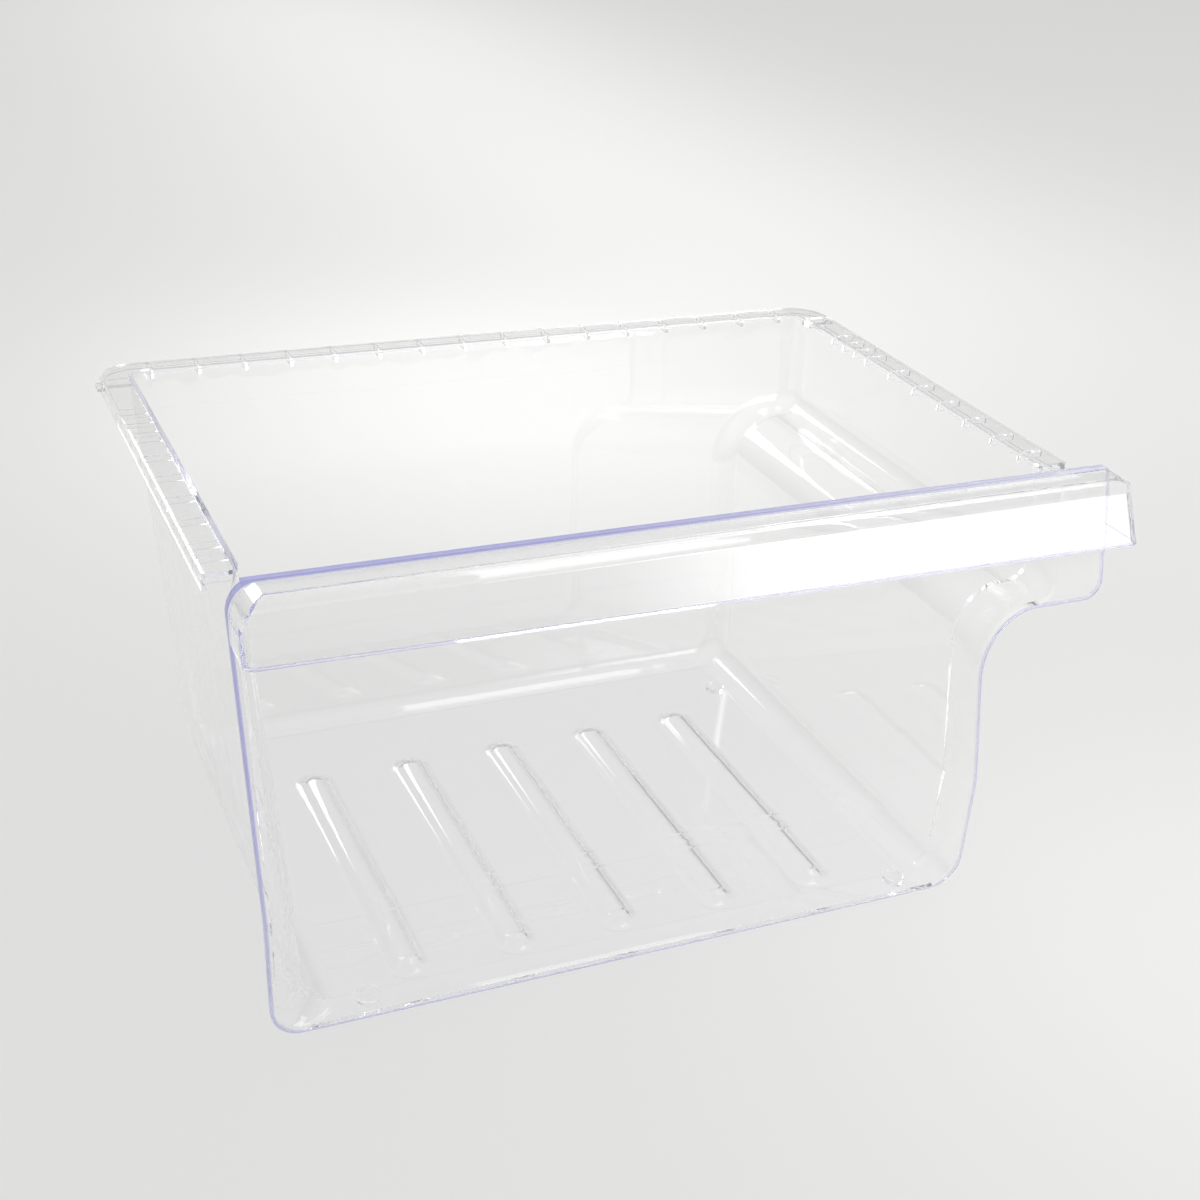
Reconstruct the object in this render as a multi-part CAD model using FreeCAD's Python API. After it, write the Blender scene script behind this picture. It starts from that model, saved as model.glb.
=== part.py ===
import FreeCAD, Part
import os
from math import cos, hypot, radians, sin, tan

# A clear crisper drawer for a refrigerator, one injection moulding. Millimetres, front towards -Y, +Z up.
# While it is built, x = 0 is the middle of the mouth, y = 0 the face of the lower front and z = 0 the shelf
# that the feet stand on. At the end it is moved so that the origin is the middle of its footprint.

# Walls
wall = 2.5
panel_wall = 3.0

# Tub: the mouth at the rim, and how its walls draw in towards the floor
rim_height = 213.0
rim_width = 398.0
rim_reach = 291.0
left_draft = 4.0
right_draft = 2.5
back_lean = 10.0
bottom_radius = 20.0
back_radius = 13.0

# Step along the right side, which clears a rail in the cabinet
step_height = 154.0
step_width = 44.0
step_corner_radius = 16.0
step_hollow_radius = 27.0

# Feet under the floor
foot_height = 3.0
foot_diameter = 11.0
foot_setback = 15.0
foot_span_x = 282.0
foot_span_y = 206.0
foot_middle_x = -14.0

# Front panel, a bent plate whose edges stand proud of the tub
panel_clearance = 1.0
crease_height = 63.0
panel_lean = 12.5
bend_radius = 40.0
left_margin = 7.5
right_margin = 7.5
panel_draft = 1.7
ear_reach = 33.5
ear_margin = 7.5
panel_left_radius = 15.0
panel_right_radius = 18.0
panel_top_left_radius = 14.0
panel_top_right_radius = 4.0
notch_radius = 33.0
ear_radius = 11.0
edge_radius = 1.0

# Flare of the tub's front end, where its walls curve out to the panel's edges. It is sunk a little into
# the panel, stays a little inside the panel's edges and ends a small share of its width inside the walls.
flare_depth = 18.0
flare_angle = 20.0
flare_sink = 0.3
flare_inset = 0.08
flare_overlap = 0.05
flare_steps = 6

# Hood over the top of the panel, open below, which is the pull
hood_inset = 0.8
hood_wall = 2.5
hood_front = 0.7
fascia_drop = 27.7
fascia_rise = 3.0
fascia_tilt = 25.0
crown_turn = 45.0
crown_radius = 14.0
hood_end_radius = 5.0

# Flange round the left, back and right of the rim, with a lip and cross ribs under it
flange_wall = 2.0
flange_drop = 0.5
rail_width = 14.0
back_flange_width = 10.5
back_lip_height = 4.5
rail_lip_height = 7.5
flange_corner_radius = 20.0
rail_start = 44.0
pad_length = 18.0
pad_rise = 0.5
rib_wall = 1.6
rib_depth = 5.0
rib_pitch = 25.0
left_rib_start = 76.0
right_rib_start = 86.0
rail_rib_count = 6
close_rib_count = 3
back_rib_count = 16
nub_length = 7.0
nub_reach = 2.5

# Raised ribs in the floor, hollow underneath
floor_rib_count = 5
floor_rib_pitch = 54.0
floor_rib_width = 17.0
floor_rib_height = 4.0
floor_rib_foot = 6.0
floor_rib_start = 21.0
floor_rib_end = 198.0
floor_rib_middle_x = -23.0

# How far a cutting shape runs past what it cuts
overrun = 12.0


def inset(corners, distances):
    """A closed outline, counter-clockwise, with each side moved inwards by its own distance.
    Side i runs from corner i to the next. Rounded corners keep their centres."""
    count = len(corners)
    lines = []
    for i in range(count):
        ax, ay = corners[i][:2]
        bx, by = corners[(i + 1) % count][:2]
        length = hypot(bx - ax, by - ay)
        dx = (bx - ax) / length
        dy = (by - ay) / length
        lines.append((ax - dy * distances[i], ay + dx * distances[i], dx, dy))
    moved = []
    for i in range(count):
        px, py, pdx, pdy = lines[i - 1]
        qx, qy, qdx, qdy = lines[i]
        turn = pdx * qdy - pdy * qdx
        along = ((qx - px) * qdy - (qy - py) * qdx) / turn
        radius = corners[i][2]
        if radius > 0:
            shift = distances[i] if turn > 0 else -distances[i]
            radius = max(radius - shift, edge_radius)
        moved.append((px + along * pdx, py + along * pdy, radius))
    return moved


def outline_face(corners, place):
    """A flat face inside an outline of (u, v, radius) corners. place turns (u, v) into a point."""
    count = len(corners)
    starts = []
    arcs = []
    for i in range(count):
        u, v, radius = corners[i]
        before = corners[i - 1]
        after = corners[(i + 1) % count]
        if radius == 0:
            starts.append(((u, v), (u, v)))
            arcs.append(None)
            continue
        back = (before[0] - u, before[1] - v)
        ahead = (after[0] - u, after[1] - v)
        back = (back[0] / hypot(*back), back[1] / hypot(*back))
        ahead = (ahead[0] / hypot(*ahead), ahead[1] / hypot(*ahead))
        half = (back[0] + ahead[0], back[1] + ahead[1])
        half = (half[0] / hypot(*half), half[1] / hypot(*half))
        cosine = back[0] * half[0] + back[1] * half[1]
        sine = (1 - cosine * cosine) ** 0.5
        tangent = radius * cosine / sine
        depth = radius / sine - radius
        first = (u + back[0] * tangent, v + back[1] * tangent)
        last = (u + ahead[0] * tangent, v + ahead[1] * tangent)
        middle = (u + half[0] * depth, v + half[1] * depth)
        starts.append((first, last))
        arcs.append(Part.Arc(place(*first), place(*middle), place(*last)).toShape())
    edges = []
    for i in range(count):
        if arcs[i] is not None:
            edges.append(arcs[i])
        leave = place(*starts[i][1])
        reach = place(*starts[(i + 1) % count][0])
        if (reach - leave).Length > 1e-6:
            edges.append(Part.makeLine(leave, reach))
    return Part.Face(Part.Wire(edges))


def front_prism(corners, start, end):
    """A front-view outline of (x, z) carried along Y."""
    face = outline_face(corners, lambda x, z: FreeCAD.Vector(x, start, z))
    return face.extrude(FreeCAD.Vector(0, end - start, 0))


def side_prism(corners, start, end):
    """A side-view outline of (y, z) carried along X."""
    face = outline_face(corners, lambda y, z: FreeCAD.Vector(start, y, z))
    return face.extrude(FreeCAD.Vector(end - start, 0, 0))


def plan_prism(corners, start, end):
    """A plan outline of (x, y) carried along Z."""
    face = outline_face(corners, lambda x, y: FreeCAD.Vector(x, y, start))
    return face.extrude(FreeCAD.Vector(0, 0, end - start))


def box(x0, x1, y0, y1, z0, z1):
    return Part.makeBox(x1 - x0, y1 - y0, z1 - z0, FreeCAD.Vector(x0, y0, z0))


def middle_normal(face):
    u0, u1, v0, v1 = face.ParameterRange
    return face.normalAt((u0 + u1) / 2, (v0 + v1) / 2)


def end_edges(solid, facing):
    """The edges round the front (facing -1) or the back (facing 1) of a block, but for those of its top."""
    found = []
    for edge in solid.Edges:
        normals = [middle_normal(face) for face in solid.ancestorsOfType(edge, Part.Face)]
        ends = [n for n in normals if n.y * facing > 0.5]
        sides = [n for n in normals if abs(n.y) < 0.5 and n.z < 0.9]
        if len(ends) == 1 and len(sides) == 1:
            found.append(edge)
    return found


# Levels and places that follow from the sizes above
floor_level = foot_height
floor_top = floor_level + wall
flange_level = rim_height - flange_drop
outer_half = rim_width / 2 + wall
back_outer = rim_reach + wall / cos(radians(back_lean))
panel_top_y = (rim_height - crease_height) * tan(radians(panel_lean))
panel_left = -outer_half - left_margin
panel_right = outer_half + ear_reach
ear_height = step_height - ear_margin
rail_outer = outer_half + rail_width
crown_level = rim_height - hood_inset
fascia_low = crown_level - fascia_drop


def tub_section():
    """Front view of the tub's outside: floor, right wall with its step, mouth, left wall."""
    depth = rim_height - floor_level
    upper = outer_half - (rim_height - step_height) * tan(radians(right_draft))
    lower = upper - step_width
    foot_right = lower - (step_height - floor_level) * tan(radians(right_draft))
    foot_left = -outer_half + depth * tan(radians(left_draft))
    return [
        (foot_left, floor_level, bottom_radius),
        (foot_right, floor_level, bottom_radius),
        (lower, step_height, step_hollow_radius),
        (upper, step_height, step_corner_radius),
        (outer_half, rim_height, 0),
        (-outer_half, rim_height, 0),
    ]


def side_section(low):
    """Side view of the outside from the level low: floor, back wall, mouth, bent front."""
    back_low = back_outer - (rim_height - low) * tan(radians(back_lean))
    return [
        (0, low, 0),
        (back_low, low, 0),
        (back_outer, rim_height, 0),
        (panel_top_y, rim_height, 0),
        (0, crease_height, bend_radius),
    ]


def tub_block(section, side, back_fillet):
    """The space common to a front view and a side view, with its upright back end rounded."""
    block = front_prism(section, -overrun, back_outer + overrun)
    block = block.common(side_prism(side, -rail_outer, rail_outer))
    return block.makeFillet(back_fillet, end_edges(block, 1))


def panel_outline():
    """Front view of the panel: bottom, right edge with its notch and ear, top, left edge."""
    slope = tan(radians(panel_draft))
    tub = tub_section()
    notch = tub[2][0] + right_margin
    ear_low = panel_right - (rim_height - ear_height) * slope
    right_low = notch - (ear_height - panel_clearance) * slope
    left_low = panel_left + (rim_height - panel_clearance) * slope
    return [
        (left_low, panel_clearance, panel_left_radius),
        (right_low, panel_clearance, panel_right_radius),
        (notch, ear_height, notch_radius),
        (ear_low, ear_height, ear_radius),
        (panel_right, rim_height, panel_top_right_radius),
        (panel_left, rim_height, panel_top_left_radius),
    ]


def bent_plate():
    """The panel's plate before it is cut to its outline."""
    side = side_section(panel_clearance - overrun)
    behind = inset(side, [-overrun, -overrun, -overrun, panel_wall, panel_wall])
    reach = panel_right + overrun
    return side_prism(side, -reach, reach).cut(side_prism(behind, -reach - overrun, reach + overrun))


def panel():
    """The bent plate, cut to its outline, with the edges of its face eased."""
    plate = bent_plate().common(front_prism(panel_outline(), -overrun, rim_reach))
    return plate.makeFillet(edge_radius, end_edges(plate, -1))


def flare_outline(share, thickness, top):
    """Front view of the flare, from the tub's section (share 0) to just inside the panel's edges (share 1),
    less a thickness. Beside the ear it ends as far from the tub as at the panel's other edges.
    Its top is raised by top above the rim."""
    section = tub_section()
    widest = panel_outline()
    widest[3] = (section[3][0] + right_margin, ear_height, ear_radius)
    widest[4] = (section[4][0] + right_margin, rim_height, 0)
    if top > 0:
        widest[5] = (panel_left, rim_height, 0)
    else:
        section[5] = (section[5][0], rim_height, edge_radius)
    corners = []
    for near, far in zip(section, widest):
        corners.append([a + (b - a) * share for a, b in zip(near, far)])
    side = thickness + flare_inset * share
    return inset(corners, [side, side, side, side, -top, side])


def flare(thickness, top):
    """The space inside the flare, less a thickness. Seen from above its walls are parts of ellipses, which
    leave the panel at the flare's angle. Above the crease it leans back with the panel."""
    first = radians(flare_angle)
    wires = []
    for i in range(flare_steps + 1):
        angle = first + (radians(90) - first) * i / flare_steps
        depth = panel_wall - flare_sink + flare_depth * (1 - cos(angle) / cos(first))
        share = 1 - (1 + flare_overlap) * (sin(angle) - sin(first)) / (1 - sin(first))
        face = outline_face(flare_outline(share, thickness, top), lambda x, z: FreeCAD.Vector(x, depth, z))
        wires.append(face.OuterWire)
    bell = Part.makeLoft(wires, True)
    reach = panel_right + overrun
    lower = bell.common(box(-reach, reach, -overrun, rim_reach, -overrun, crease_height))
    upper = bell.common(box(-reach, reach, -overrun, rim_reach, crease_height, rim_height + 2 * overrun))
    lean = FreeCAD.Matrix()
    lean.A23 = tan(radians(panel_lean))
    lean.A24 = -crease_height * tan(radians(panel_lean))
    return lower.fuse(upper.transformGeometry(lean))


def cavity():
    """The space inside the tub, open upwards."""
    section = inset(tub_section(), [wall, wall, wall, wall, -overrun, wall])
    side = inset(side_section(floor_level), [wall, wall, -overrun, panel_wall, panel_wall])
    behind_panel = inset(side_section(floor_level), [-overrun, wall, -overrun, panel_wall, panel_wall])
    bell = flare(wall, overrun).common(side_prism(behind_panel, -panel_right, panel_right))
    return tub_block(section, side, back_radius - wall).fuse(bell)


def fascia_face(z, thickness):
    """How far forward the fascia's face lies at a level, less a thickness off its outside."""
    tilt = radians(fascia_tilt)
    return hood_front + thickness / cos(tilt) + (z - fascia_low) * tan(tilt)


def hood_profile(thickness, low, back):
    """Side view of the hood: the panel behind it, crown and fascia. thickness is taken off its outside,
    low is its bottom and back is how far behind the panel's face it ends."""
    turn = radians(crown_turn)
    centre_z = crown_level - crown_radius
    crease_z = centre_z + crown_radius * cos(turn)
    centre_y = fascia_face(crease_z, 0) + crown_radius * sin(turn)
    radius = crown_radius - thickness

    def crown(angle):
        return FreeCAD.Vector(0, centre_y - radius * sin(angle), centre_z + radius * cos(angle))

    def behind(z):
        return FreeCAD.Vector(0, (z - crease_height) * tan(radians(panel_lean)) + back, z)

    end = crown(turn)
    foot = FreeCAD.Vector(0, fascia_face(low, thickness), low)
    knee = FreeCAD.Vector(0, fascia_face(end.z, thickness), end.z)
    corners = [end, knee, foot, behind(low), behind(crown_level - thickness), crown(0)]
    edges = [Part.makeLine(a, b) for a, b in zip(corners, corners[1:]) if (b - a).Length > 1e-6]
    edges.append(Part.Arc(crown(0), crown(turn / 2), end).toShape())
    return Part.Face(Part.Wire(edges))


def hood_form(thickness, low, back):
    """The hood's side view carried along X, with round top corners and round upright ends."""
    left = panel_left + hood_inset + thickness
    right = panel_right - hood_inset - thickness
    top = crown_level - thickness
    below = low - overrun
    face = hood_profile(thickness, low, back)
    face.translate(FreeCAD.Vector(left - overrun, 0, 0))
    bar = face.extrude(FreeCAD.Vector(right - left + 2 * overrun, 0, 0))
    front_view = [
        (left, below, 0),
        (right, below, 0),
        (right, top, max(panel_top_right_radius - hood_inset - thickness, edge_radius)),
        (left, top, max(panel_top_left_radius - hood_inset - thickness, edge_radius)),
    ]
    end_radius = max(hood_end_radius - thickness, edge_radius)
    plan = [
        (left, fascia_face(below, thickness), end_radius),
        (right, fascia_face(below, thickness), end_radius),
        (right, rim_reach, 0),
        (left, rim_reach, 0),
    ]
    rise = rim_height - below
    slant = FreeCAD.Vector(0, rise * tan(radians(fascia_tilt)), rise)
    ends = outline_face(plan, lambda x, y: FreeCAD.Vector(x, y, below)).extrude(slant)
    return bar.common(front_prism(front_view, -overrun, rim_reach)).common(ends)


def hood():
    """A bent wall over the panel's top with closed ends, hollow and open below.
    Its lower edge rises to the left."""
    wedge = [
        (panel_left, fascia_low - overrun, 0),
        (panel_right, fascia_low - overrun, 0),
        (panel_right, fascia_low, 0),
        (panel_left, fascia_low + fascia_rise, 0),
    ]
    outside = hood_form(0, fascia_low - overrun / 2, panel_wall / 2)
    inside = hood_form(hood_wall, fascia_low - overrun, 0)
    return outside.cut(inside).cut(front_prism(wedge, -overrun, rim_reach))


def flange_outline():
    """Plan of the flange from the rails' front ends round the back."""
    back = back_outer + back_flange_width
    return [
        (-rail_outer, rail_start, 0),
        (rail_outer, rail_start, 0),
        (rail_outer, back, flange_corner_radius),
        (-rail_outer, back, flange_corner_radius),
    ]


def flange():
    """The flange with its lip, front pads, cross ribs and stop nubs. It runs on inside the tub, where the
    space of the tub is cut away later."""
    outline = flange_outline()
    plate = plan_prism(outline, flange_level - flange_wall, flange_level)
    hollow = inset(outline, [flange_wall] * 4)
    lip_low = flange_level - back_lip_height
    lip = plan_prism(outline, lip_low, flange_level).cut(plan_prism(hollow, lip_low - overrun, flange_level))
    pieces = [plate, lip]
    rail_end = back_outer + back_flange_width - flange_corner_radius
    rail_low = flange_level - rail_lip_height
    for side in (-1, 1):
        x = sorted((side * rail_outer, side * (rail_outer - flange_wall)))
        pieces.append(box(x[0], x[1], rail_start, rail_end, rail_low, flange_level - flange_wall / 2))
    pad_end = rail_start + pad_length
    pieces.append(box(-rail_outer, rail_outer, rail_start, pad_end, flange_level - flange_wall,
                      flange_level + pad_rise))
    rib_low = flange_level - rib_depth
    rib_high = flange_level - flange_wall / 2
    for side, start in ((-1, left_rib_start), (1, right_rib_start)):
        x = sorted((side * rim_width / 2, side * (rail_outer - flange_wall / 2)))
        places = [start + i * rib_pitch for i in range(rail_rib_count)]
        places += [places[-1] + (i + 1) * rib_pitch / 2 for i in range(close_rib_count)]
        for y in [pad_end] + places:
            pieces.append(box(x[0], x[1], y - rib_wall / 2, y + rib_wall / 2, rib_low, rib_high))
    back = back_outer + back_flange_width - flange_wall / 2
    for i in range(back_rib_count):
        x = (i - (back_rib_count - 1) / 2) * rib_pitch
        pieces.append(box(x - rib_wall / 2, x + rib_wall / 2, rim_reach - wall, back, rib_low, rib_high))
    pieces.append(box(-rail_outer - nub_reach, rail_outer + nub_reach, rail_end - nub_length, rail_end,
                      lip_low, flange_level - flange_wall))
    return pieces


def rib_feet(solid, level):
    """The edges where round ribs rise from a flat face at a level."""
    found = []
    for edge in solid.Edges:
        surfaces = [face.Surface for face in solid.ancestorsOfType(edge, Part.Face)]
        flat = [surface for surface in surfaces if isinstance(surface, Part.Plane)]
        if len(flat) == 1 and len(surfaces) == 2 and abs(edge.CenterOfMass.z - level) < 1e-4:
            found.append(edge)
    return found


def floor_ribs(thickness, low):
    """A slab with long low domes on it: round bars with round ends, sunk until the wanted width and height
    show, with rounded feet. thickness is taken off the top of it all, and low is its underside."""
    half = floor_rib_width / 2
    radius = (half * half + floor_rib_height * floor_rib_height) / (2 * floor_rib_height)
    level = floor_top + floor_rib_height - radius
    top = floor_top - thickness
    size = radius - thickness
    along = FreeCAD.Vector(0, 1, 0)
    middles = [floor_rib_middle_x + (i - (floor_rib_count - 1) / 2) * floor_rib_pitch
               for i in range(floor_rib_count)]
    bars = []
    for x in middles:
        front = FreeCAD.Vector(x, floor_rib_start + half, level)
        back = FreeCAD.Vector(x, floor_rib_end - half, level)
        bars.append(Part.makeCylinder(size, back.y - front.y, front, along))
        bars += [Part.makeSphere(size, centre, along) for centre in (front, back)]
    margin = floor_rib_foot / 2 + edge_radius / 2
    ends = (floor_rib_start - margin, floor_rib_end + margin)
    sides = (middles[0] - half - margin, middles[-1] + half + margin)
    slab = box(*sides, *ends, low, top)
    form = slab.multiFuse(bars).common(box(*sides, *ends, low, top + size)).removeSplitter()
    return form.makeFillet(floor_rib_foot + thickness, rib_feet(form, top))


def feet():
    pegs = []
    for side in (-1, 1):
        for y in (foot_setback, foot_setback + foot_span_y):
            place = FreeCAD.Vector(foot_middle_x + side * foot_span_x / 2, y, 0)
            pegs.append(Part.makeCylinder(foot_diameter / 2, floor_level + wall / 2, place))
    return pegs


def drawer():
    tub = tub_block(tub_section(), side_section(floor_level), back_radius)
    body = tub.fuse(flare(0, 0)).multiFuse([panel(), hood()] + flange() + feet())
    body = body.cut(cavity())
    body = body.fuse(floor_ribs(0, floor_level))
    return body.cut(floor_ribs(wall, floor_level - overrun))


def placed(shape):
    """Moves the drawer so that the origin is the middle of its footprint, on the shelf."""
    extent = shape.optimalBoundingBox()
    shape.translate(FreeCAD.Vector(-extent.Center.x, -extent.Center.y, -extent.ZMin))
    return shape


os.makedirs("parts", exist_ok=True)
solid = placed(drawer())
print("valid", solid.isValid(), "solids", len(solid.Solids), "volume", solid.Volume)
print("box", solid.optimalBoundingBox())
solid.exportStep("parts/crisper_drawer.step")
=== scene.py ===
from math import pi

import bpy
from mathutils import Matrix, Vector

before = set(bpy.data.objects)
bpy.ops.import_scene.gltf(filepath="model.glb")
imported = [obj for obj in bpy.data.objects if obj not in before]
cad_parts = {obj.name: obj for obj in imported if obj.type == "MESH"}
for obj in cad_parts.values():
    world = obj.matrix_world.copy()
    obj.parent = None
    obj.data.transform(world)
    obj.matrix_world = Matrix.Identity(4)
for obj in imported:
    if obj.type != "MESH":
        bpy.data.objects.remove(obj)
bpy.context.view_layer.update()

bl_info = {
    "name": "Crisper drawer",
    "version": (1, 0, 0),
    "blender": (4, 5, 0),
    "location": "3D View > Sidebar > Drawer",
    "description": "Dresses a clear moulded crisper drawer and sets the studio round it",
    "category": "Object",
}

DRAWER = "crisper_drawer"

# Front panel in metres, as the solid has it. The left edge and the ear's edge are given at the rim's level,
# the right edge at the level of the ear's lower edge. From there they slope.
RIM = 0.213
FACE = -0.15202
PANEL_WALL = 0.0031
PANEL_LOW = 0.001
PANEL_LEAN = 0.22169
PANEL_SLOPE = 0.02968
CREASE = 0.063
LEFT_EDGE = -0.21744
RIGHT_EDGE = 0.15398
EAR_EDGE = 0.22656
EAR_LOW = 0.1465

# Rounding of the panel's corners: low left, low right, the ear's, the hollow one under the ear, top left
LOW_LEFT_RADIUS = 0.015
LOW_RIGHT_RADIUS = 0.018
EAR_RADIUS = 0.011
EAR_ROOT_RADIUS = 0.033
TOP_RADIUS = 0.014

# Hood over the panel: its top, its lower edge at the right end, and how far that edge rises to the left
HOOD_TOP = 0.2122
HOOD_LOW = 0.1845
HOOD_RISE = 0.003

# Painted violet edge glow, standing in for light piped through the plastic and out at its free edges: shares
# of its width between which it fades, how much faster it fades ahead of the panel's face, and how far behind
# the panel it still shows
LINE_FADE = (0.6, 1.2)
LINE_FADE_AHEAD = 1.6
LINE_BEHIND = 0.0003

# Where the painted glow line changes across the drawer and up it, from place to place and from strength to
# strength;
# it is painted weaker to the right and towards the floor
LINE_ACROSS = (-0.05, 0.2, 1.0, 0.45)
LINE_UP = (0.0, 0.12, 0.6, 1.0)

# Painted violet glow on the hood's lower edge: its height, how far ahead of the panel it starts, its strength
LIP_HEIGHT = 0.0004
LIP_AHEAD = 0.002
LIP_STRENGTH = 0.5

# Moulding waves: how many in a metre, and the levels between which the gloss changes with them
WAVE_SCALE = 40.0
GLOSS_LEVELS = (0.55, 0.8)

# Bounces after which light leaves the plastic straight
LONGEST_WAY = 12.0

# Studio: level of the floor, height in the sky from which it is at its strongest, spread of the floor's lamps
FLOOR_LEVEL = -0.0002
SKY_FULL = 0.7
FLOOR_LAMP_SPREAD = 1.7

# Axes of the camera
CAMERA_RIGHT = Vector((0.9167585, -0.39582971, 0.05359751))
CAMERA_UP = Vector((0.13500139, 0.43332465, 0.89106923))
CAMERA_BACK = Vector((-0.3759368, -0.80965955, 0.45069161))


class PlasticSettings(bpy.types.PropertyGroup):
    """The clear plastic of the drawer."""

    index: bpy.props.FloatProperty(
        name="Refractive index",
        description="How strongly the plastic bends light; polystyrene is 1.59",
        default=1.57, min=1.0, max=2.0)
    tint: bpy.props.FloatVectorProperty(
        name="Tint",
        description="Colour that is left of white light in a long way through the plastic",
        subtype="COLOR", size=3, default=(0.50, 0.50, 0.90), min=0.0, max=1.0)
    density: bpy.props.FloatProperty(
        name="Tint density",
        description="How fast the tint builds up with the way through the plastic",
        default=1.0, min=0.0)
    # Painted edge glow: a violet colour painted into the free edges, standing in for light piped through the
    # plastic
    painted_glow_colour: bpy.props.FloatVectorProperty(
        name="Edge tint",
        description="Colour of the light that comes out of the free edges of the front panel and the hood",
        subtype="COLOR", size=3, default=(0.50, 0.50, 0.85), min=0.0, max=1.0)
    # Share of the light at the free edges that is swapped for the painted violet glow
    painted_glow_share: bpy.props.FloatProperty(
        name="Edge glow",
        description="Share of the light along the free edges that is scattered instead of let through",
        default=0.8, min=0.0, max=1.0)
    # Width of the painted violet glow line
    edge_width: bpy.props.FloatProperty(
        name="Edge width",
        description="Width of the tinted line along the free edges",
        default=0.0017, unit="LENGTH")
    waves: bpy.props.FloatProperty(
        name="Waviness",
        description="Height of the moulding's faint waves",
        default=0.00005, unit="LENGTH")
    gloss: bpy.props.FloatVectorProperty(
        name="Roughness",
        description="Least and greatest roughness of the polished surface, which changes from place to place",
        size=2, default=(0.0, 0.06), min=0.0, max=1.0)
    shade: bpy.props.FloatVectorProperty(
        name="Shadow tint",
        description="Share of a lamp's light that each face lets through",
        subtype="COLOR", size=3, default=(0.992, 0.992, 0.994), min=0.0, max=1.0)


class StudioSettings(bpy.types.PropertyGroup):
    """Floor, surroundings and camera."""

    floor_color: bpy.props.FloatVectorProperty(
        name="Floor colour",
        description="Colour of the pale floor",
        subtype="COLOR", size=3, default=(0.86, 0.86, 0.85), min=0.0, max=1.0)
    floor_size: bpy.props.FloatProperty(
        name="Floor size",
        description="Side of the square floor",
        default=60.0, unit="LENGTH")
    lens: bpy.props.FloatProperty(
        name="Lens",
        description="Focal length on a 36 mm wide sensor",
        default=54.09)
    station: bpy.props.FloatVectorProperty(
        name="Camera place",
        description="Where the camera stands",
        subtype="TRANSLATION", size=3, default=(-0.3525, -0.7730, 0.5440))
    sky: bpy.props.FloatVectorProperty(
        name="Surroundings",
        description="Strength of the soft light from the sides and from above",
        size=2, default=(0.22, 0.87), min=0.0)


def node_tree(material):
    """The material's empty node tree."""
    material.use_nodes = True
    tree = material.node_tree
    tree.nodes.clear()
    return tree


def add(tree, kind, **values):
    """A new node with some of its values set."""
    node = tree.nodes.new(kind)
    for name, value in values.items():
        setattr(node, name, value)
    return node


def calc(tree, operation, *values):
    """A math node on sockets or plain numbers; gives back its output."""
    node = add(tree, "ShaderNodeMath", operation=operation)
    for socket, value in zip(node.inputs, values):
        if isinstance(value, (int, float)):
            socket.default_value = value
        else:
            tree.links.new(value, socket)
    return node.outputs["Value"]


def ramp(tree, value, start, end, low, high, kind="LINEAR"):
    """Goes from low to high while a value goes from start to end, and stays there outside.
    Gives back the output."""
    node = add(tree, "ShaderNodeMapRange", interpolation_type=kind)
    tree.links.new(value, node.inputs["Value"])
    for name, number in zip(("From Min", "From Max", "To Min", "To Max"), (start, end, low, high)):
        node.inputs[name].default_value = number
    return node.outputs["Result"]


def split(tree, vector):
    """The three parts of a vector."""
    node = add(tree, "ShaderNodeSeparateXYZ")
    tree.links.new(vector, node.inputs["Vector"])
    return node.outputs


def corner(tree, first, second, radius, side):
    """How far inside a rounded corner a point lies, from its distances inside the two edges that meet there.
    side is 1 for an outer corner and -1 for a hollow one."""
    parts = []
    for distance in (first, second):
        past = calc(tree, "MULTIPLY_ADD", distance, -side, radius)
        parts.append(calc(tree, "MAXIMUM", past, 0.0))
    square = calc(tree, "MULTIPLY", parts[0], parts[0])
    reach = calc(tree, "SQRT", calc(tree, "MULTIPLY_ADD", parts[1], parts[1], square))
    return calc(tree, "MULTIPLY_ADD", reach, -side, radius * side)


def inside_panel(tree, x, z):
    """How far a point lies inside the outline of the front panel and the hood, seen from the front."""
    drop = calc(tree, "SUBTRACT", RIM, z)
    right_at_rim = RIGHT_EDGE + (RIM - EAR_LOW) * PANEL_SLOPE
    left = calc(tree, "SUBTRACT", x, calc(tree, "MULTIPLY_ADD", drop, PANEL_SLOPE, LEFT_EDGE))
    right = calc(tree, "SUBTRACT", calc(tree, "MULTIPLY_ADD", drop, -PANEL_SLOPE, right_at_rim), x)
    ear_side = calc(tree, "SUBTRACT", calc(tree, "MULTIPLY_ADD", drop, -PANEL_SLOPE, EAR_EDGE), x)
    low = calc(tree, "SUBTRACT", z, PANEL_LOW)
    ear_low = calc(tree, "SUBTRACT", z, EAR_LOW)
    top = calc(tree, "SUBTRACT", HOOD_TOP, z)
    ear = corner(tree, ear_side, ear_low, EAR_RADIUS, 1)
    right = corner(tree, right, ear, EAR_ROOT_RADIUS, -1)
    inside = corner(tree, left, low, LOW_LEFT_RADIUS, 1)
    inside = calc(tree, "MINIMUM", inside, corner(tree, right, low, LOW_RIGHT_RADIUS, 1))
    return calc(tree, "MINIMUM", inside, corner(tree, left, top, TOP_RADIUS, 1))


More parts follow.
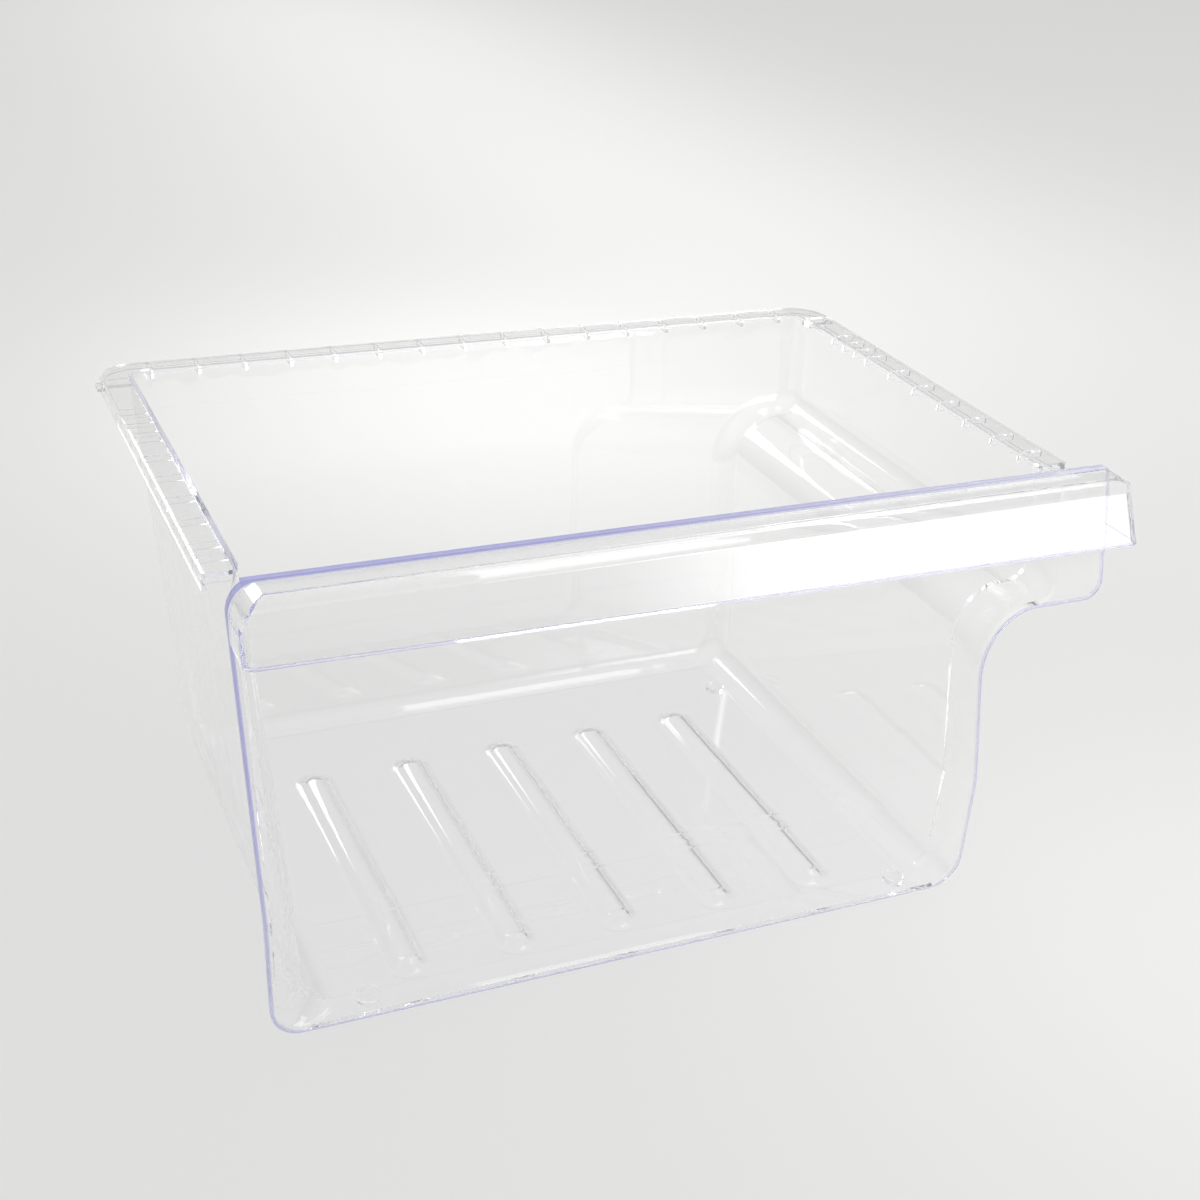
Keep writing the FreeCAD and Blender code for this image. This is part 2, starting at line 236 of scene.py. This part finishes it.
def painted_edge_glow(tree, place, width):
    """The strength of the painted violet edge glow, which stands in for light piped through the plastic: a
    line along the free edges of the front panel, painted weaker to the right and towards the floor, and the
    hood's lower edge. It is 0 elsewhere."""
    x, y, z = split(tree, place)
    lean = calc(tree, "MAXIMUM", calc(tree, "SUBTRACT", z, CREASE), 0.0)
    ahead = calc(tree, "SUBTRACT", calc(tree, "MULTIPLY_ADD", lean, PANEL_LEAN, FACE), y)

    inside = calc(tree, "MAXIMUM", inside_panel(tree, x, z), calc(tree, "MULTIPLY", ahead, LINE_FADE_AHEAD))
    line = ramp(tree, inside, width * LINE_FADE[0], width * LINE_FADE[1], 1.0, 0.0, "SMOOTHSTEP")
    plate = calc(tree, "GREATER_THAN", ahead, -PANEL_WALL - LINE_BEHIND)
    for share in (plate, ramp(tree, x, *LINE_ACROSS), ramp(tree, z, *LINE_UP)):
        line = calc(tree, "MULTIPLY", line, share)

    # The hood's lower edge gets the painted violet glow too, at part strength
    rise = HOOD_RISE / (EAR_EDGE - LEFT_EDGE)
    lip_top = calc(tree, "MULTIPLY_ADD", x, -rise, HOOD_LOW + EAR_EDGE * rise + LIP_HEIGHT)
    below = calc(tree, "GREATER_THAN", lip_top, z)
    lip = calc(tree, "MULTIPLY", below, calc(tree, "GREATER_THAN", ahead, LIP_AHEAD))
    return calc(tree, "MAXIMUM", line, calc(tree, "MULTIPLY", lip, LIP_STRENGTH))


def clear_plastic(settings):
    """Clear moulded polystyrene: a glossy skin with faint waves that bends light, tint by depth, a violet
    glow painted along the free edges, and faces that let lamps through. Light caught between two faces leaves
    straight in the end."""
    material = bpy.data.materials.new("clear_polystyrene")
    tree = node_tree(material)
    link = tree.links.new
    place = add(tree, "ShaderNodeTexCoord").outputs["Object"]
    skin = add(tree, "ShaderNodeBsdfPrincipled")
    skin.inputs["IOR"].default_value = settings.index

    # Painted edge glow: at the free edges transmission gives way to a diffuse violet base colour standing in
    # for piped light
    edges = painted_edge_glow(tree, place, settings.edge_width)
    link(calc(tree, "MULTIPLY_ADD", edges, -settings.painted_glow_share, 1.0), skin.inputs["Transmission Weight"])
    # This mix paints the violet edge glow into the base colour
    tint = add(tree, "ShaderNodeMix", data_type="RGBA")
    link(edges, tint.inputs["Factor"])
    tint.inputs["A"].default_value = (1, 1, 1, 1)
    tint.inputs["B"].default_value = (*settings.painted_glow_colour, 1)
    link(tint.outputs["Result"], skin.inputs["Base Color"])

    waves = add(tree, "ShaderNodeTexNoise")
    waves.inputs["Scale"].default_value = WAVE_SCALE
    waves.inputs["Detail"].default_value = 1.0
    link(place, waves.inputs["Vector"])
    link(ramp(tree, waves.outputs["Fac"], *GLOSS_LEVELS, *settings.gloss), skin.inputs["Roughness"])
    bump = add(tree, "ShaderNodeBump")
    bump.inputs["Strength"].default_value = 1.0
    bump.inputs["Distance"].default_value = settings.waves
    link(waves.outputs["Fac"], bump.inputs["Height"])
    link(bump.outputs["Normal"], skin.inputs["Normal"])

    through = add(tree, "ShaderNodeBsdfTransparent")
    through.inputs["Color"].default_value = (*settings.shade, 1)
    path = add(tree, "ShaderNodeLightPath")
    lamp_way = calc(tree, "MAXIMUM", path.outputs["Is Shadow Ray"], path.outputs["Is Diffuse Ray"])
    long_way = calc(tree, "GREATER_THAN", path.outputs["Ray Depth"], LONGEST_WAY)
    mix = add(tree, "ShaderNodeMixShader")
    link(calc(tree, "MAXIMUM", lamp_way, long_way), mix.inputs["Fac"])
    link(skin.outputs["BSDF"], mix.inputs[1])
    link(through.outputs["BSDF"], mix.inputs[2])

    depth = add(tree, "ShaderNodeVolumeAbsorption")
    depth.inputs["Color"].default_value = (*settings.tint, 1)
    depth.inputs["Density"].default_value = settings.density
    out = add(tree, "ShaderNodeOutputMaterial")
    link(mix.outputs["Shader"], out.inputs["Surface"])
    link(depth.outputs["Volume"], out.inputs["Volume"])
    return material


class DRAWER_OT_plastic(bpy.types.Operator):
    """Gives the moulded drawer its clear plastic"""

    bl_idname = "drawer.plastic"
    bl_label = "Clear plastic drawer"

    def execute(self, context):
        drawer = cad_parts[DRAWER]
        material = clear_plastic(context.scene.drawer_plastic)
        drawer.data.materials.clear()
        drawer.data.materials.append(material)
        return {"FINISHED"}


def sheet(name, corners, material):
    """A flat sheet with four corners."""
    mesh = bpy.data.meshes.new(name)
    mesh.from_pydata(corners, [], [(0, 1, 2, 3)])
    mesh.materials.append(material)
    thing = bpy.data.objects.new(name, mesh)
    bpy.context.scene.collection.objects.link(thing)
    return thing


def pale_floor(settings):
    """A matt, pale material for the floor."""
    material = bpy.data.materials.new("pale_floor")
    tree = node_tree(material)
    skin = add(tree, "ShaderNodeBsdfPrincipled")
    skin.inputs["Base Color"].default_value = (*settings.floor_color, 1)
    skin.inputs["Roughness"].default_value = 0.7
    skin.inputs["Specular IOR Level"].default_value = 0.1
    out = add(tree, "ShaderNodeOutputMaterial")
    tree.links.new(skin.outputs["BSDF"], out.inputs["Surface"])
    return material


def surroundings(settings):
    """A world with soft light from all round, which is stronger from above."""
    world = bpy.data.worlds.new("surroundings")
    world.use_nodes = True
    tree = world.node_tree
    glow = tree.nodes["Background"]
    glow.inputs["Color"].default_value = (1, 1, 1, 1)
    way = add(tree, "ShaderNodeTexCoord").outputs["Generated"]
    strength = ramp(tree, split(tree, way)["Z"], 0.0, SKY_FULL, *settings.sky, "SMOOTHSTEP")
    tree.links.new(strength, glow.inputs["Strength"])
    return world


def fading_glow(name, low, high, fade):
    """Light that rises from low to high over the share fade of a sheet's width."""
    material = bpy.data.materials.new(name)
    tree = node_tree(material)
    across = add(tree, "ShaderNodeUVMap", uv_map="across").outputs["UV"]
    strength = ramp(tree, split(tree, across)["X"], 0.0, fade, low, high, "SMOOTHSTEP")
    glow = add(tree, "ShaderNodeEmission")
    tree.links.new(strength, glow.inputs["Strength"])
    out = add(tree, "ShaderNodeOutputMaterial")
    tree.links.new(glow.outputs["Emission"], out.inputs["Surface"])
    return material


def light_sheet(name, corners, material):
    """A glowing sheet, which the camera doesn't see. Its first side gives its width."""
    thing = sheet(name, corners, material)
    layer = thing.data.uv_layers.new(name="across")
    for loop, place in zip(layer.data, ((0, 0), (1, 0), (1, 1), (0, 1))):
        loop.uv = place
    thing.visible_camera = False


def softbox(name, place, aim, size, radiance):
    """A flat lamp, which the camera doesn't see. size is its width and height."""
    width, height = size
    lamp = bpy.data.lights.new(name, "AREA")
    lamp.shape = "RECTANGLE"
    lamp.size = width
    lamp.size_y = height
    lamp.energy = radiance * pi * width * height
    thing = bpy.data.objects.new(name, lamp)
    way = Vector(aim) - Vector(place)
    thing.matrix_world = Matrix.Translation(place) @ way.to_track_quat("-Z", "Y").to_matrix().to_4x4()
    thing.visible_camera = False
    bpy.context.scene.collection.objects.link(thing)
    return thing


def floor_softbox(name, place, size, radiance):
    """A lamp that faces down and lights the floor, and that doesn't show in the plastic."""
    x, y, z = place
    thing = softbox(name, place, (x, y, 0.0), size, radiance)
    thing.visible_glossy = False
    thing.visible_transmission = False
    thing.data.spread = FLOOR_LAMP_SPREAD


def lamps():
    """A sheet at the front right, a lamp overhead and one behind, which show in the plastic, and three lamps
    for the floor: far behind the drawer, close behind it and at its right front corner."""
    corners = [(0.70, -2.0, 0.35), (2.35, -2.0, 0.35), (2.35, -2.0, 1.5), (0.70, -2.0, 1.5)]
    name = "right_front_sheet"
    light_sheet(name, corners, fading_glow(name, low=0.58, high=3.6, fade=0.30))
    softbox("overhead_softbox", place=(0.705, 0.1, 2.0), aim=(0.705, 0.1, 0.0),
            size=(0.44, 1.2), radiance=1.8)
    behind = softbox("back_softbox", place=(-0.4, 2.2, 1.3), aim=(0.0, 0.0, 0.1),
                     size=(0.9, 0.5), radiance=5.0)
    behind.visible_diffuse = False
    floor_softbox("pool_softbox", place=(0.55, 1.7, 0.8), size=(0.45, 2.4), radiance=0.42)
    floor_softbox("glow_softbox", place=(0.14, 0.58, 0.45), size=(0.35, 0.35), radiance=0.55)
    floor_softbox("side_softbox", place=(0.25, -0.25, 0.35), size=(0.3, 0.3), radiance=0.2)


def camera(settings):
    """The camera, where the photo was taken from."""
    view = bpy.data.cameras.new("camera")
    view.sensor_width = 36.0
    view.lens = settings.lens
    view.clip_start = 0.01
    view.clip_end = 100.0
    thing = bpy.data.objects.new("camera", view)
    turn = Matrix((CAMERA_RIGHT, CAMERA_UP, CAMERA_BACK)).transposed()
    thing.matrix_world = Matrix.Translation(settings.station) @ turn.to_4x4()
    bpy.context.scene.collection.objects.link(thing)
    return thing


class DRAWER_OT_studio(bpy.types.Operator):
    """Sets the floor, the lamps and the camera"""

    bl_idname = "drawer.studio"
    bl_label = "Studio"

    def execute(self, context):
        scene = context.scene
        settings = scene.drawer_studio
        half = settings.floor_size / 2
        ground = ((-half, -half), (half, -half), (half, half), (-half, half))
        corners = [(x, y, FLOOR_LEVEL) for x, y in ground]
        floor = sheet("floor", corners, pale_floor(settings))
        scene.world = surroundings(settings)
        lamps()
        scene.camera = camera(settings)
        scene.view_settings.view_transform = "Standard"
        scene.cycles.max_bounces = 32
        scene.cycles.transmission_bounces = 32
        scene.cycles.glossy_bounces = 32
        scene.cycles.diffuse_bounces = 3
        scene.cycles.transparent_max_bounces = 16
        scene.cycles.use_denoising = True
        return {"FINISHED"}


class DRAWER_PT_panel(bpy.types.Panel):
    """The drawer's settings and operators"""

    bl_idname = "DRAWER_PT_panel"
    bl_label = "Crisper drawer"
    bl_space_type = "VIEW_3D"
    bl_region_type = "UI"
    bl_category = "Drawer"

    def draw(self, context):
        layout = self.layout
        for settings in (context.scene.drawer_plastic, context.scene.drawer_studio):
            for name in settings.bl_rna.properties.keys():
                if name not in ("rna_type", "name"):
                    layout.prop(settings, name)
        layout.operator(DRAWER_OT_plastic.bl_idname)
        layout.operator(DRAWER_OT_studio.bl_idname)


CLASSES = (PlasticSettings, StudioSettings, DRAWER_OT_plastic, DRAWER_OT_studio, DRAWER_PT_panel)


def register():
    for item in CLASSES:
        bpy.utils.register_class(item)
    bpy.types.Scene.drawer_plastic = bpy.props.PointerProperty(type=PlasticSettings)
    bpy.types.Scene.drawer_studio = bpy.props.PointerProperty(type=StudioSettings)


def unregister():
    del bpy.types.Scene.drawer_studio
    del bpy.types.Scene.drawer_plastic
    for item in reversed(CLASSES):
        bpy.utils.unregister_class(item)


def main():
    register()
    bpy.ops.drawer.plastic()
    bpy.ops.drawer.studio()


if __name__ == "__main__":
    main()
